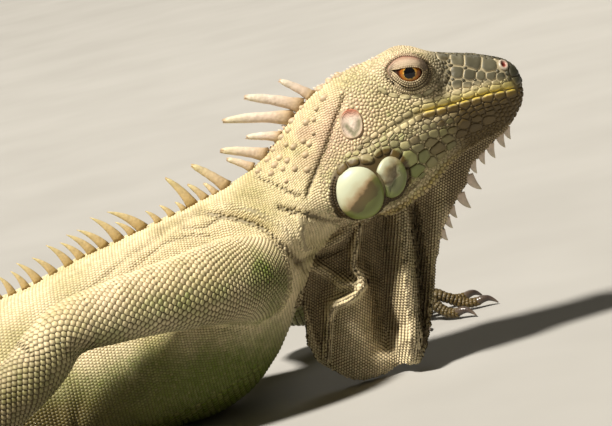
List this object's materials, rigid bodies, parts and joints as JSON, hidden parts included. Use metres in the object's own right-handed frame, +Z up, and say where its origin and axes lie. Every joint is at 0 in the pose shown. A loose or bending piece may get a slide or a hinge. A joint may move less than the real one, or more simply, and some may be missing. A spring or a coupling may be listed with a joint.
{
  "type": "green iguana model",
  "caption": "Life-size museum-type model of an adult male green iguana lying on its belly, head raised, throat fan hanging, one foreleg laid back and the tail trailing in a curve.",
  "frame": {"origin": "on the floor under the belly's flat, on the body's midline, midway between shoulders and hips", "axes": "+X towards the snout, +Y to the animal's left, +Z up"},
  "size_m": [1.2306, 0.4432, 0.1537],
  "materials": {
    "hide": "satin scales",
    "tail_hide": "satin keeled scales, banded",
    "fan_hide": "satin beaded scales",
    "claw_horn": "dark horn",
    "eye_gloss": "wet gloss",
    "drum_skin": "smooth thin skin",
    "shield_plate": "smooth horny plate"
  },
  "bodies": {
    "root": {"head": "hide", "lower_jaw": "hide", "neck": "hide", "trunk": "hide", "tail_1": "tail_hide", "tail_2": "tail_hide", "tail_3": "tail_hide", "tail_4": "tail_hide", "dewlap": "fan_hide", "eye_right": "eye_gloss", "tympanum_right": "drum_skin", "jowl_shield_right": "shield_plate", "eye_left": "eye_gloss", "tympanum_left": "drum_skin", "jowl_shield_left": "shield_plate", "upper_arm_right": "hide", "forearm_right": "hide", "hand_right": "hide", "upper_arm_left": "hide", "forearm_left": "hide", "hand_left": "hide", "thigh_right": "hide", "shank_right": "hide", "foot_right": "hide", "thigh_left": "hide", "shank_left": "hide", "foot_left": "hide", "claw_foreleg_right_1": "claw_horn", "claw_foreleg_right_2": "claw_horn", "claw_foreleg_right_3": "claw_horn", "claw_foreleg_right_4": "claw_horn", "claw_foreleg_right_5": "claw_horn", "claw_foreleg_left_1": "claw_horn", "claw_foreleg_left_2": "claw_horn", "claw_foreleg_left_3": "claw_horn", "claw_foreleg_left_4": "claw_horn", "claw_foreleg_left_5": "claw_horn", "claw_hindleg_right_1": "claw_horn", "claw_hindleg_right_2": "claw_horn", "claw_hindleg_right_3": "claw_horn", "claw_hindleg_right_4": "claw_horn", "claw_hindleg_right_5": "claw_horn", "claw_hindleg_left_1": "claw_horn", "claw_hindleg_left_2": "claw_horn", "claw_hindleg_left_3": "claw_horn", "claw_hindleg_left_4": "claw_horn", "claw_hindleg_left_5": "claw_horn"}
  },
  "joints": []
}
